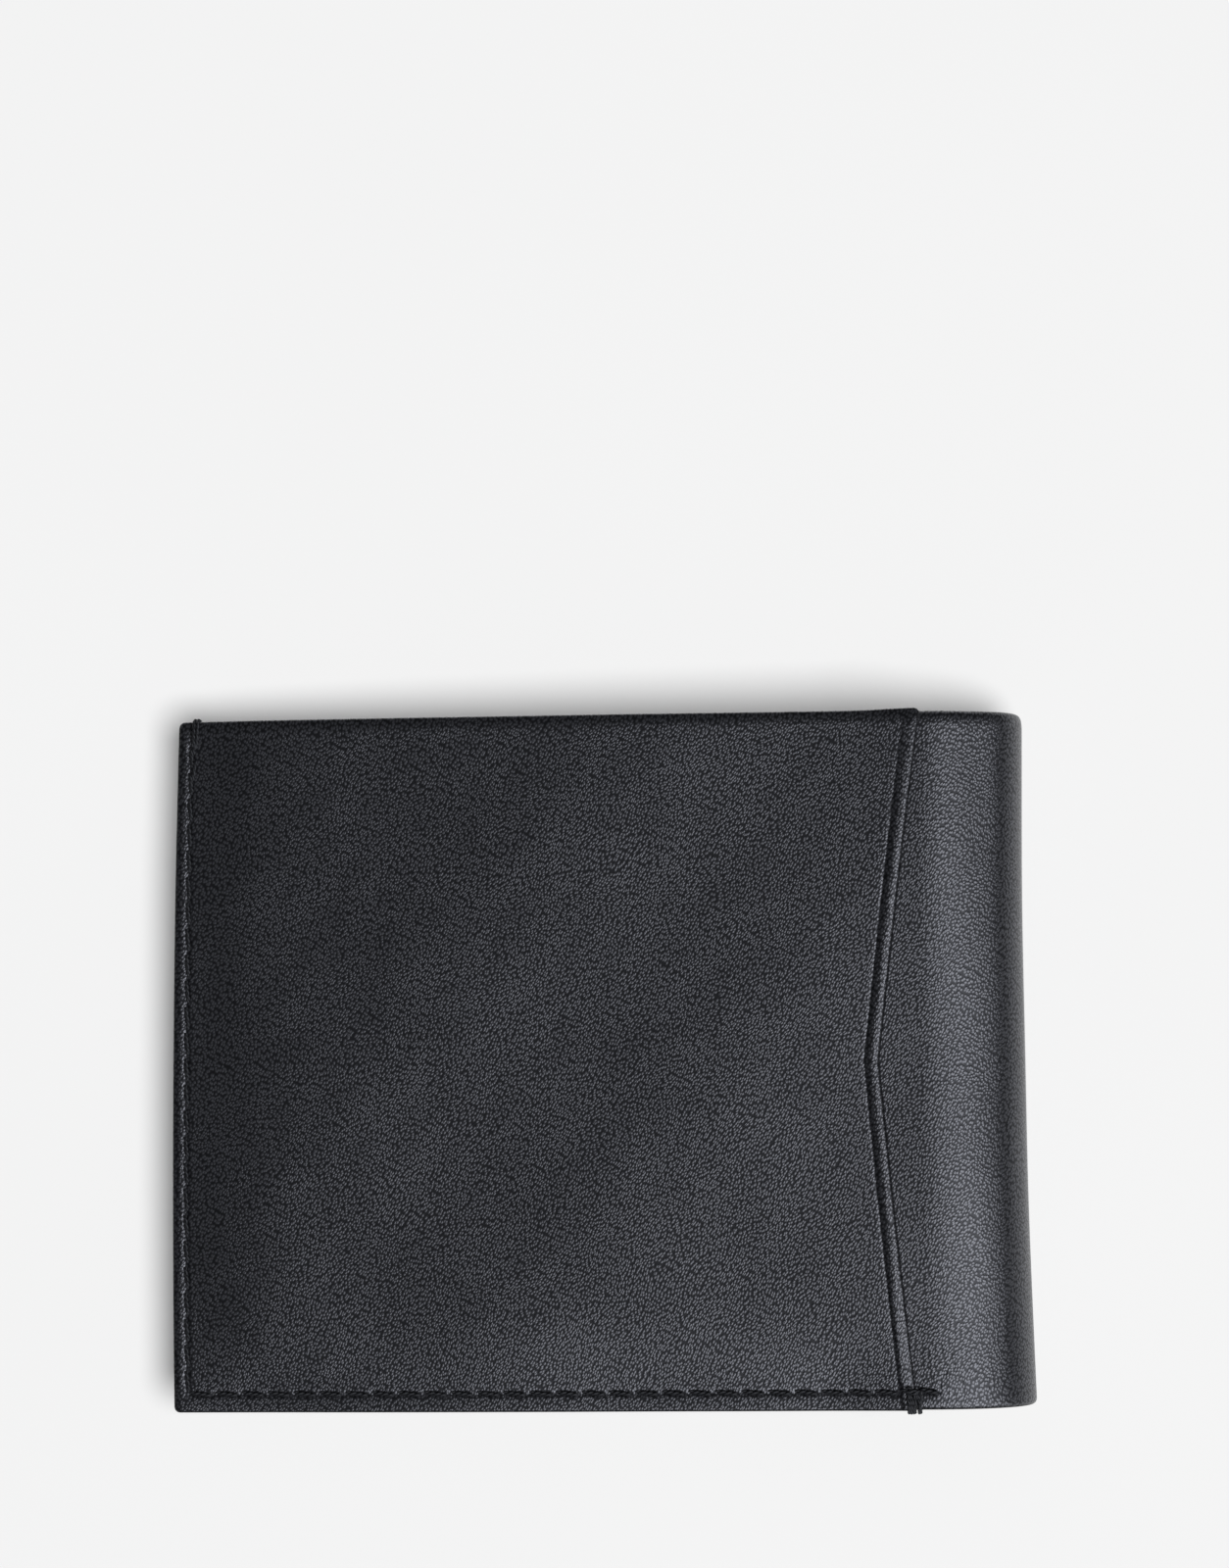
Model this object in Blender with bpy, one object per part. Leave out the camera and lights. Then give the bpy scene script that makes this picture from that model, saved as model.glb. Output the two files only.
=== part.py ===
"""A closed bifold wallet, lying on its front half with its spine towards +X and the bill mouth towards +Y.

The wallet is one cross-section in the XZ plane, run along Y. The section is a path with the same bend for
every layer: flat along the front half, round the spine, flat along the back half. A place on it is a turn
round the bend in radians, a run along the straight halves in metres, and a depth below the outer leather.
The bend is a row of equal turns, wide at its two shoulders and tight at its nose, with a hinge in the middle
of each turn. Between the hinges, the layers that bend are divided into slats.
Lengths are in metres. The origin is under the middle of the closed wallet, on the plane it lies on.
"""

import math

import bmesh
import bpy
from mathutils import Matrix, Vector

MM = 0.001

# Driving dimensions
HEIGHT = 93.0 * MM              # along the spine
HALF_LENGTH = 99.9 * MM         # each half, from the end of the bend to the open edge
SHOULDER_RADIUS = 20.0 * MM     # outside of the spine's first and last turn
NOSE_RADIUS = 8.9 * MM          # outside of the turns between them
WEDGE = math.radians(4.5)       # the back half slopes down from the spine to the open edge
HINGES = 6                      # the bend opens in this many equal turns
LAYER_GAP = 0.2 * MM            # between flat layers
SLAT_GAP = 0.3 * MM             # between the ends of neighbouring slats
BILL_GAP = 0.5 * MM             # bill compartment, lying closed

# Thickness of each material
COVER = 1.2 * MM
STIFFENER = 0.4 * MM
LINING = 0.25 * MM
DIVIDER = 0.35 * MM
POCKET_LEATHER = 0.4 * MM
SLOT_BASE = 0.5 * MM
OUTER_POCKET = 1.0 * MM

# Seams and threads
SIDE_SEAM_INSET = 1.9 * MM
BOTTOM_SEAM_INSET = 2.5 * MM
STITCH_PITCH = 3.45 * MM
THREAD_RADIUS = 0.28 * MM
THREAD_DIP = 0.1 * MM           # how far the thread sinks at each needle hole
GROOVE_WIDTH = 1.0 * MM
GROOVE_DEPTH = 0.85 * MM
SEAM_END_FROM_BEND = 2.2 * MM   # the bottom seam stops this far short of the bend

# Card pockets, measured down from the wallet's top edge
DIVIDER_DROP = 5.0 * MM
FIRST_SLOT_DROP = 14.0 * MM
SLOT_STEP = 12.0 * MM
SLOT_DEPTH = 45.0 * MM
SLOT_COUNT = 3
POCKETS_FROM_BEND = 1.0 * MM
POCKET_SEAM_INSET = 2.0 * MM

# Mouth of the outer pocket: the distance of its edge from the bend, at its ends and at its apex
MOUTH_END = 0.4 * MM
MOUTH_APEX = 4.5 * MM
HEM_WIDTH = 2.4 * MM
HEM_RISE = 0.35 * MM
CREASE_WIDTH = 0.5 * MM
CREASE_DEPTH = 0.35 * MM

# Tack that holds the lower end of the pocket's mouth
TACK_LENGTH = 4.4 * MM
TACK_WIDTH = 1.1 * MM
TACK_HEIGHT = 0.6 * MM
TACK_WRAP = 1.5 * MM
TACK_PROUD = TACK_HEIGHT + LAYER_GAP

CORNER_RADIUS = 1.5 * MM
CORNER_STEPS = 3
SLAT_STEPS = 4
END_STEPS = 4
SHARP_FROM = math.radians(40)

# Worked out from the driving dimensions
BEND = math.pi + WEDGE
STEP = BEND / HINGES
RADII = [SHOULDER_RADIUS] + [NOSE_RADIUS] * (HINGES - 2) + [SHOULDER_RADIUS]
SHOULDER_OVER_NOSE = SHOULDER_RADIUS - NOSE_RADIUS
SPINE_REACH = NOSE_RADIUS + SHOULDER_OVER_NOSE * math.sin(STEP)
POCKET_OUTSIDE = OUTER_POCKET + LAYER_GAP
BACK_START = SHOULDER_OVER_NOSE * (math.sin(STEP) - math.sin(BEND - STEP))
BACK_REACH = (SHOULDER_RADIUS + POCKET_OUTSIDE) * math.sin(WEDGE) + HALF_LENGTH * math.cos(WEDGE) - BACK_START
BEND_START_X = (BACK_REACH - SPINE_REACH) / 2
BOTTOM = -HEIGHT / 2 + TACK_PROUD / 2
TOP = BOTTOM + HEIGHT

STIFFENER_DEPTH = COVER + LAYER_GAP
LINING_DEPTH = STIFFENER_DEPTH + STIFFENER + LAYER_GAP
DIVIDER_DEPTH = LINING_DEPTH + LINING + BILL_GAP
SLOT_BASE_DEPTH = DIVIDER_DEPTH + DIVIDER + LAYER_GAP
FIRST_SLOT_DEPTH = SLOT_BASE_DEPTH + SLOT_BASE + LAYER_GAP
SLOT_RISE = POCKET_LEATHER + LAYER_GAP

# Colours, roughness and metallic of each material
MATERIALS = {
    "black_leather": ((0.035, 0.036, 0.041, 1.0), 0.5, 0.0),
    "pocket_leather": ((0.030, 0.031, 0.035, 1.0), 0.55, 0.0),
    "lining_fabric": ((0.020, 0.020, 0.023, 1.0), 0.85, 0.0),
    "stiffener_board": ((0.32, 0.27, 0.20, 1.0), 0.9, 0.0),
    "edge_binding": ((0.025, 0.025, 0.028, 1.0), 0.7, 0.0),
    "black_thread": ((0.012, 0.012, 0.014, 1.0), 0.6, 0.0),
}


# Places on the cross-section

def outward(turn):
    """The direction out of the leather at a turn round the bend, as (x, z). It is straight down at 0."""
    return math.sin(turn), -math.cos(turn)


def turn_centres():
    """The centre of each turn's arc. Neighbouring arcs meet where their centres are in line with the joint."""
    x, z = BEND_START_X, RADII[0]
    centres = [(x, z)]
    for i in range(1, HINGES):
        step_x, step_z = outward(i * STEP)
        x += (RADII[i - 1] - RADII[i]) * step_x
        z += (RADII[i - 1] - RADII[i]) * step_z
        centres.append((x, z))
    return centres


CENTRES = turn_centres()


def turn_radius(turn):
    """The outside radius of the arc that a turn lies on."""
    return RADII[min(int(turn / STEP), HINGES - 1)]


def section(turn, run, depth):
    """The point of the cross-section at that turn round the bend, run along the path and depth, as (x, z)."""
    centre_x, centre_z = CENTRES[min(int(turn / STEP), HINGES - 1)]
    out_x, out_z = outward(turn)
    radius = turn_radius(turn) - depth
    return centre_x + radius * out_x - run * out_z, centre_z + radius * out_z + run * out_x


def on_half(half, from_bend, y, depth):
    """The point of a half at that distance from the bend, that y and that depth below the cover's face."""
    if half == "front":
        x, z = section(0.0, -from_bend, depth)
    else:
        x, z = section(BEND, from_bend, depth)
    return Vector((x, y, z))


def pivot(hinge):
    """The place of a hinge's axis, numbered from 1 at the front half.

    It lies in the middle of its turn, where turning by one step rolls the cover's middle surface out flat.
    """
    mid_radius = RADII[hinge - 1] - COVER / 2
    pivot_radius = mid_radius * (STEP / 2) / math.sin(STEP / 2)
    x, z = section((hinge - 0.5) * STEP, 0.0, RADII[hinge - 1] - pivot_radius)
    return Vector((x, 0.0, z))


# Scene and materials

def clear_scene():
    for item in list(bpy.data.objects):
        bpy.data.objects.remove(item)


def make_material(name, colour, roughness, metallic):
    material = bpy.data.materials.new(name)
    material.use_nodes = True
    shader = material.node_tree.nodes["Principled BSDF"]
    shader.inputs["Base Color"].default_value = colour
    shader.inputs["Roughness"].default_value = roughness
    shader.inputs["Metallic"].default_value = metallic
    material.diffuse_color = colour
    return material


def add_empty(name, matrix, parent=None):
    """An empty on a joint's axis, which its pieces and the next empty are parented to."""
    empty = bpy.data.objects.new(name, None)
    bpy.context.scene.collection.objects.link(empty)
    empty.parent = parent
    bpy.context.view_layer.update()
    empty.matrix_world = matrix
    bpy.context.view_layer.update()
    return empty


def add_object(name, data, parent, material=None):
    """Puts data that was drawn in the wallet's frame under its empty."""
    item = bpy.data.objects.new(name, data)
    bpy.context.scene.collection.objects.link(item)
    data.transform(parent.matrix_world.inverted())
    item.parent = parent
    if material:
        data.materials.append(make_material(name + "_material", *MATERIALS[material]))
    return item


# Solids

def loft(name, loops, parent, material=None):
    """A closed solid through loops that each hold the same number of points, with its two ends filled."""
    shape = bmesh.new()
    rings = [[shape.verts.new(point) for point in loop] for loop in loops]
    count = len(rings[0])
    for ring, following in zip(rings, rings[1:]):
        for i in range(count):
            j = (i + 1) % count
            shape.faces.new((ring[i], ring[j], following[j], following[i]))
    shape.faces.new(list(reversed(rings[0])))
    shape.faces.new(rings[-1])
    bmesh.ops.recalc_face_normals(shape, faces=shape.faces)
    mesh = bpy.data.meshes.new(name)
    shape.to_mesh(mesh)
    shape.free()
    return add_object(name, mesh, parent, material)


def round_end(turn, depth, thickness, way):
    """The points between the two corners of a slat's rounded end. way is 1 for its far end, -1 for its near."""
    mid_radius = turn_radius(turn) - depth - thickness / 2
    points = []
    for i in range(1, END_STEPS):
        angle = math.pi * i / END_STEPS
        swing = way * math.sin(angle) * (thickness / 2) / mid_radius
        rise = way * math.cos(angle) * thickness / 2
        points.append(section(turn + swing, 0.0, depth + thickness / 2 - rise))
    return points


def bent_strip(name, depth, thickness, first, last, ends, parent, material):
    """A strip of a layer that bends with the spine.

    first and last are its ends, each a (turn, run) pair. An end with no run lies at a hinge and is rounded.
    ends is the strip's lowest and highest y.
    """
    first_turn, first_run = first
    last_turn, last_run = last
    share = (last_turn - first_turn) / SLAT_STEPS
    turns = [first_turn + share * i for i in range(SLAT_STEPS + 1)]
    stations = [(turn, 0.0) for turn in turns]
    if first_run:
        stations.insert(0, first)
    if last_run:
        stations.append(last)
    outline = [section(turn, run, depth) for turn, run in stations]
    if not last_run:
        outline += round_end(last_turn, depth, thickness, 1)
    outline += [section(turn, run, depth + thickness) for turn, run in reversed(stations)]
    if not first_run:
        outline += round_end(first_turn, depth, thickness, -1)
    loops = [[Vector((x, y, z)) for x, z in outline] for y in ends]
    strip = loft(name, loops, parent, material)
    strip.data.shade_smooth()
    strip.data.set_sharp_from_angle(angle=SHARP_FROM)
    return strip


def end_turn(hinge, depth, thickness, way):
    """The turn at which a slat's rounded end begins, so that it stays half a gap from the hinge."""
    mid_radius = RADII[hinge - 1] - depth - thickness / 2
    return (hinge - 0.5) * STEP - way * (SLAT_GAP + thickness) / 2 / mid_radius


def rounded_rectangle(low, high, radius):
    """The corners of a rectangle, rounded off, as (a, b) pairs in order."""
    centres = (
        (high[0] - radius, high[1] - radius, 0.0),
        (low[0] + radius, high[1] - radius, math.pi / 2),
        (low[0] + radius, low[1] + radius, math.pi),
        (high[0] - radius, low[1] + radius, 1.5 * math.pi),
    )
    points = []
    for a, b, start in centres:
        for i in range(CORNER_STEPS + 1):
            angle = start + i * math.pi / 2 / CORNER_STEPS
            points.append((a + radius * math.cos(angle), b + radius * math.sin(angle)))
    return points


def flat_panel(name, half, depth, thickness, near, far, bottom, top, parent, material):
    """A flat panel of a half, between two distances from the bend and two heights."""
    outline = rounded_rectangle((near, bottom), (far, top), CORNER_RADIUS)
    loops = [[on_half(half, u, v, level) for u, v in outline] for level in (depth, depth + thickness)]
    return loft(name, loops, parent, material)


def cutter_box(name, half, near, far, bottom, top, depth_from, depth_to, parent):
    """A box that cuts or joins another piece, and isn't a piece itself."""
    outline = ((near, bottom), (far, bottom), (far, top), (near, top))
    loops = [[on_half(half, u, v, level) for u, v in outline] for level in (depth_from, depth_to)]
    box = loft(name, loops, parent)
    box.hide_render = True
    box.display_type = "WIRE"
    return box


def combine(piece, other, operation):
    modifier = piece.modifiers.new(other.name, "BOOLEAN")
    modifier.operation = operation
    modifier.object = other
    modifier.solver = "EXACT"


def thread(name, route, parent):
    """A thread along a route, as a bevelled curve with closed ends."""
    curve = bpy.data.curves.new(name, "CURVE")
    curve.dimensions = "3D"
    curve.bevel_depth = THREAD_RADIUS
    curve.bevel_resolution = 1
    curve.use_fill_caps = True
    spline = curve.splines.new("POLY")
    spline.points.add(len(route) - 1)
    for point, place in zip(spline.points, route):
        point.co = (*place, 1.0)
    return add_object(name, curve, parent, "black_thread")


# Sub-parts

def stitched_route(half, start, end, depth):
    """The route of a seam's thread between two (from_bend, y) places. It dips at each needle hole."""
    start = Vector(start)
    end = Vector(end)
    length = (end - start).length
    stitches = round(length / STITCH_PITCH)
    route = []
    for i in range(stitches):
        for share, dip in ((0.0, THREAD_DIP), (0.24, 0.0), (0.76, 0.0)):
            place = start.lerp(end, (i + share) / stitches)
            route.append(on_half(half, place.x, place.y, depth + dip))
    route.append(on_half(half, end.x, end.y, depth + THREAD_DIP))
    return route


def add_seams(half, cover, outside, parent):
    """The side and bottom threads of a half, and the grooves that they lie in.

    outside is how far the outermost leather stands above the cover's own face.
    """
    side = HALF_LENGTH - SIDE_SEAM_INSET
    low = BOTTOM + BOTTOM_SEAM_INSET
    floor = GROOVE_DEPTH - outside
    above = -outside - MM
    half_width = GROOVE_WIDTH / 2
    side_groove = cutter_box(
        half + "_side_groove", half, side - half_width, side + half_width,
        low - half_width, TOP + MM, above, floor, parent,
    )
    bottom_groove = cutter_box(
        half + "_bottom_groove", half, SEAM_END_FROM_BEND, side + half_width,
        low - half_width, low + half_width, above, floor, parent,
    )
    combine(cover, side_groove, "DIFFERENCE")
    combine(cover, bottom_groove, "DIFFERENCE")
    depth = floor - THREAD_RADIUS - THREAD_DIP - LAYER_GAP / 2
    clear = 2 * THREAD_RADIUS + SLAT_GAP
    side_route = stitched_route(half, (side, low), (side, TOP - THREAD_RADIUS), depth)
    bottom_route = stitched_route(half, (side - clear, low), (SEAM_END_FROM_BEND + clear, low), depth)
    thread(half + "_side_thread", side_route, parent)
    thread(half + "_bottom_thread", bottom_route, parent)


def add_half_layers(half, parent):
    """The layers of a half that bend into the spine: cover, bill lining and divider. Returns the cover."""
    layers = (
        ("cover", 0.0, COVER, 0.0, 0.0, 0.0, "black_leather"),
        ("bill_lining", LINING_DEPTH, LINING, 1.0 * MM, 1.0 * MM, 6.0 * MM, "lining_fabric"),
        ("divider", DIVIDER_DEPTH, DIVIDER, 1.0 * MM, 1.0 * MM, DIVIDER_DROP + MM, "lining_fabric"),
    )
    pieces = []
    for name, depth, thickness, edge_inset, bottom_inset, top_drop, material in layers:
        reach = HALF_LENGTH - edge_inset
        ends = (BOTTOM + bottom_inset, TOP - top_drop)
        if half == "front":
            first = (0.0, -reach)
            last = (end_turn(1, depth, thickness, 1), 0.0)
        else:
            first = (end_turn(HINGES, depth, thickness, -1), 0.0)
            last = (BEND, reach)
        name = half + "_" + name
        pieces.append(bent_strip(name, depth, thickness, first, last, ends, parent, material))
    return pieces[0]


def add_card_section(half, parent):
    """The stiffener, the card pockets and the divider's binding of a half."""
    near = POCKETS_FROM_BEND
    far = HALF_LENGTH - MM
    low = BOTTOM + MM
    flat_panel(
        half + "_stiffener", half, STIFFENER_DEPTH, STIFFENER, 3 * MM, HALF_LENGTH - 3 * MM,
        BOTTOM + 3.5 * MM, TOP - 7 * MM, parent, "stiffener_board",
    )
    divider_top = TOP - DIVIDER_DROP
    flat_panel(
        half + "_slot_base", half, SLOT_BASE_DEPTH, SLOT_BASE, near, far,
        low, divider_top - MM, parent, "pocket_leather",
    )
    binding_depth = DIVIDER_DEPTH - LAYER_GAP
    binding_thickness = SLOT_BASE_DEPTH + SLOT_BASE - binding_depth + LAYER_GAP
    binding_low = divider_top - MM + LAYER_GAP
    outline = ((near, binding_low), (far, binding_low), (far, divider_top), (near, divider_top))
    levels = (binding_depth, binding_depth + binding_thickness)
    loops = [[on_half(half, u, v, level) for u, v in outline] for level in levels]
    loft(half + "_divider_binding", loops, parent, "edge_binding")
    depth = FIRST_SLOT_DEPTH
    steps = [(divider_top - MM, SLOT_BASE_DEPTH + SLOT_BASE)]
    for number in range(1, SLOT_COUNT + 1):
        top = TOP - FIRST_SLOT_DROP - (number - 1) * SLOT_STEP
        flat_panel(
            half + "_card_slot_" + str(number), half, depth, POCKET_LEATHER, near, far,
            top - SLOT_DEPTH, top, parent, "pocket_leather",
        )
        steps.append((top, depth + POCKET_LEATHER))
        depth += SLOT_RISE
    top = TOP - FIRST_SLOT_DROP - SLOT_COUNT * SLOT_STEP
    flat_panel(
        half + "_slip_pocket", half, depth, POCKET_LEATHER, near, far,
        low, top, parent, "pocket_leather",
    )
    steps.append((top, depth + POCKET_LEATHER))
    add_pocket_thread(half, near + POCKET_SEAM_INSET, low, steps, parent)


def add_pocket_thread(half, from_bend, low, steps, parent):
    """The seam at the spine side of the card pockets. It climbs their tops as stairs, from the base down."""
    clear = THREAD_RADIUS + LAYER_GAP
    route = []
    upper = steps[0][0] - clear
    for (_, depth), (edge, _) in zip(steps, steps[1:]):
        route.append(on_half(half, from_bend, upper, depth + clear))
        route.append(on_half(half, from_bend, edge + clear + THREAD_RADIUS, depth + clear))
        upper = edge + clear
    last_depth = steps[-1][1] + clear
    route.append(on_half(half, from_bend, upper, last_depth))
    route.append(on_half(half, from_bend, low + BOTTOM_SEAM_INSET, last_depth))
    thread(half + "_pocket_thread", route, parent)


def add_outer_pocket(parent):
    """The leather panel on the back cover. Its mouth faces the spine, with a hem and a crease beside it."""
    face = -LAYER_GAP
    outside = -POCKET_OUTSIDE
    rows = (
        (BOTTOM, MOUTH_END),
        ((BOTTOM + TOP) / 2, MOUTH_APEX),
        (TOP, MOUTH_END),
    )
    loops = []
    for y, mouth in rows:
        crease = mouth + HEM_WIDTH
        profile = (
            (HALF_LENGTH, face),
            (HALF_LENGTH, outside),
            (crease + CREASE_WIDTH, outside),
            (crease, outside + CREASE_DEPTH),
            (crease - CREASE_WIDTH, outside),
            ((mouth + crease) / 2, outside - HEM_RISE),
            (mouth + CREASE_WIDTH, outside - HEM_RISE / 2),
            (mouth, outside + CREASE_WIDTH),
            (mouth, face),
        )
        loops.append([on_half("back", u, y, depth) for u, depth in profile])
    return loft("outer_pocket", loops, parent, "black_leather")


def add_pocket_tack(parent):
    """The tack at the lower end of the mouth. It steps down off the pocket, and wraps the bottom edge."""
    y = BOTTOM + BOTTOM_SEAM_INSET
    edge = MOUTH_END - LAYER_GAP
    far = edge + TACK_LENGTH * 0.45
    near = edge - TACK_LENGTH * 0.55
    low = -LAYER_GAP
    high = -POCKET_OUTSIDE - HEM_RISE - LAYER_GAP
    profile = (
        (far, high),
        (far, high - TACK_HEIGHT),
        (edge - TACK_HEIGHT, high - TACK_HEIGHT),
        (near, low - TACK_HEIGHT),
        (near, low),
        (edge, low),
        (edge, high),
    )
    loops = []
    for side in (y - TACK_WIDTH / 2, y + TACK_WIDTH / 2):
        loops.append([on_half("back", u, side, depth) for u, depth in profile])
    tack = loft("pocket_tack", loops, parent, "black_thread")
    wrap_from = far - TACK_WRAP
    over = cutter_box(
        "tack_over", "back", wrap_from, far, BOTTOM - TACK_PROUD, y,
        high - TACK_HEIGHT, high, parent,
    )
    down = cutter_box(
        "tack_down", "back", wrap_from, far, BOTTOM - TACK_PROUD, BOTTOM - LAYER_GAP,
        high - TACK_HEIGHT / 2, COVER, parent,
    )
    combine(tack, over, "UNION")
    combine(tack, down, "UNION")


def add_spine_slats(number, parent):
    """The pieces of the leather, bill lining and divider that one slat of the spine is made of."""
    layers = (
        ("spine_leather_", 0.0, COVER, 0.0, 0.0, "black_leather"),
        ("spine_lining_", LINING_DEPTH, LINING, 1.0 * MM, 6.0 * MM, "lining_fabric"),
        ("spine_divider_", DIVIDER_DEPTH, DIVIDER, 1.0 * MM, DIVIDER_DROP + MM, "lining_fabric"),
    )
    for name, depth, thickness, bottom_inset, top_drop, material in layers:
        first = (end_turn(number, depth, thickness, -1), 0.0)
        last = (end_turn(number + 1, depth, thickness, 1), 0.0)
        ends = (BOTTOM + bottom_inset, TOP - top_drop)
        bent_strip(name + str(number), depth, thickness, first, last, ends, parent, material)


def build_wallet():
    clear_scene()
    front = add_empty("front_half", Matrix.Identity(4))
    front_cover = add_half_layers("front", front)
    add_card_section("front", front)
    add_seams("front", front_cover, 0.0, front)
    parent = front
    for number in range(1, HINGES):
        turned = Matrix.Rotation(-number * STEP, 4, "Y")
        parent = add_empty("spine_hinge_" + str(number), Matrix.Translation(pivot(number)) @ turned, parent)
        add_spine_slats(number, parent)
    turned = Matrix.Rotation(-BEND, 4, "Y")
    back = add_empty("back_half", Matrix.Translation(pivot(HINGES)) @ turned, parent)
    add_half_layers("back", back)
    add_card_section("back", back)
    outer_pocket = add_outer_pocket(back)
    add_seams("back", outer_pocket, POCKET_OUTSIDE, back)
    add_pocket_tack(back)


build_wallet()
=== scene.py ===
"""The looks of the bifold wallet: leather, cloth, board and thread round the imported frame, on a pale table.

Every layer is drawn flat and then laid round the wallet's cross-section. A flat place is (path, y, depth):
path is the length along the outer leather, below 0 on the front half, 0 to BEND_LENGTH round the spine and
above that on the back half; depth is measured inwards from the outer leather's face. Lengths are in metres.
"""

import math

import bpy
import numpy as np
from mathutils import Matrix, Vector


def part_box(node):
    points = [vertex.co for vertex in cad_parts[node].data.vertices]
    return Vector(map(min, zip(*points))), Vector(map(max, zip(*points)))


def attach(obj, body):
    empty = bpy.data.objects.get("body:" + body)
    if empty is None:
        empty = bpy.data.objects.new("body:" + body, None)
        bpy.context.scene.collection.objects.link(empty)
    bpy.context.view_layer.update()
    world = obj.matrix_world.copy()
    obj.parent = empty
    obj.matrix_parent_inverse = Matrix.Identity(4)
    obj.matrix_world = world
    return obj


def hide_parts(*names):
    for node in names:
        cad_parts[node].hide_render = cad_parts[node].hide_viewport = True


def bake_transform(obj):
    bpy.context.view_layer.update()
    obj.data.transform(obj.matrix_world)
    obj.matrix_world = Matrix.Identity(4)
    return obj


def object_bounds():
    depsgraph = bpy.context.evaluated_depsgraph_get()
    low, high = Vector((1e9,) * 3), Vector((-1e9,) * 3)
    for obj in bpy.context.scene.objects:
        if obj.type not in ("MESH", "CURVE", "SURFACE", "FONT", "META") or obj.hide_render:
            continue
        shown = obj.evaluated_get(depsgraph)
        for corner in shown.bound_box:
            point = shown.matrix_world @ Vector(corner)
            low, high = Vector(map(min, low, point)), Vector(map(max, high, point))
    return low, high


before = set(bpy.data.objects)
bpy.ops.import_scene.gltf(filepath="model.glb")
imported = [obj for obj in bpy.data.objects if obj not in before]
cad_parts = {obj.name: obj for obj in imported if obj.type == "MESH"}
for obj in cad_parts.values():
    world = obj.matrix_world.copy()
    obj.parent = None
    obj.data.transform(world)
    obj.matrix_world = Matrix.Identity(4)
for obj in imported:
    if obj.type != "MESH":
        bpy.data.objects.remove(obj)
CAD_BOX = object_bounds()

MM = 0.001
NEARLY = 1e-9                   # a length too short to matter
TINY = 1e-12                    # keeps a division from failing

# The frame's cross-section, as in the CAD source
HALF_LENGTH = 99.9 * MM
SHOULDER_RADIUS = 20.0 * MM
NOSE_RADIUS = 8.9 * MM
WEDGE = math.radians(4.5)
HINGES = 6
BEND = math.pi + WEDGE
STEP = BEND / HINGES
RADII = np.array([SHOULDER_RADIUS] + [NOSE_RADIUS] * (HINGES - 2) + [SHOULDER_RADIUS])
TURN_ENDS = np.concatenate(([0.0], np.cumsum(RADII * STEP)))
BEND_LENGTH = TURN_ENDS[-1]
FRONT_LOW, FRONT_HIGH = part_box("front_cover")
BOTTOM = FRONT_LOW.y
TOP = FRONT_HIGH.y
MIDDLE = (BOTTOM + TOP) / 2
LEFT = FRONT_LOW.x
BEND_START_X = LEFT + HALF_LENGTH
HALVES = ("front", "back")

# Depths of the layers' faces from the outer leather's face
COVER = 1.2 * MM
TURNED_COVER = 1.95 * MM
STIFFENER_DEPTHS = (1.4 * MM, 1.8 * MM)
LINING_DEPTHS = (2.0 * MM, 2.25 * MM)
DIVIDER_DEPTHS = (2.75 * MM, 3.1 * MM)
BASE_DEPTHS = (3.3 * MM, 3.8 * MM)
BINDING_DEPTHS = (2.62 * MM, 3.95 * MM)
FIRST_SLOT_DEPTH = 4.0 * MM
SLOT_RISE = 0.6 * MM
SLOT_THICKNESS = 0.4 * MM
POCKET_DEPTHS = (-1.2 * MM, -0.2 * MM)
POCKET_PROUD = 0.3 * MM         # the outer pocket's corner stands above the shell's top edge by this
POCKET_PROUD_DOWN, POCKET_PROUD_ALONG = 8.0 * MM, 6.0 * MM

# Places of the inner layers' edges
LAYER_INSET = 1.0 * MM
POCKETS_FROM_BEND = 1.0 * MM
LINING_DROP = 6.0 * MM
DIVIDER_DROP = 5.0 * MM
BINDING_HEIGHT = 3.0 * MM
FIRST_SLOT_DROP = 14.0 * MM
SLOT_STEP = 12.0 * MM
SLOT_HEIGHT = 45.0 * MM
SLOT_COUNT = 3
SLOT_TURN = 2.6 * MM            # the height of a card pocket's turned edge
SLOT_TURN_RISE = 0.12 * MM
BOARD_INSET = 3.0 * MM

# How the layers are pressed together where they are sewn: the depths of their faces, loose and pressed
LOOSE = np.array([
    -3.0, -0.2, 0.0, 1.95, 2.0, 2.25, 2.75, 3.1, 3.3,
    3.8, 4.0, 4.4, 4.6, 5.0, 5.2, 5.6, 5.8, 6.2,
]) * MM
PRESSED = np.array([
    -2.82, -0.02, 0.0, 1.95, 1.97, 2.22, 2.26, 2.61, 2.63,
    3.13, 3.16, 3.56, 3.59, 3.99, 4.02, 4.42, 4.45, 4.85,
]) * MM
PRESS_REACH = 8.0 * MM
PRESS_FADE = 14.0 * MM
PINCH = 0.45 * MM

# The back half's soft shape
CROWN = 0.7 * MM                # how far it stands out in its middle
SHOULDER_FALL = 0.3 * MM        # how much lower the spine's upper shoulder is at the top than at mid height
SHOULDER_BEFORE_BEND = 8.5 * MM
SHOULDER_REACH = 4.0 * MM

# How its ends lean and bow, as moves along x at the top and bottom edges
LEFT_LEAN, LEFT_BOW = 0.75 * MM, 0.45 * MM
RIGHT_LEAN, RIGHT_BOW = -0.62 * MM, 0.52 * MM

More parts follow.
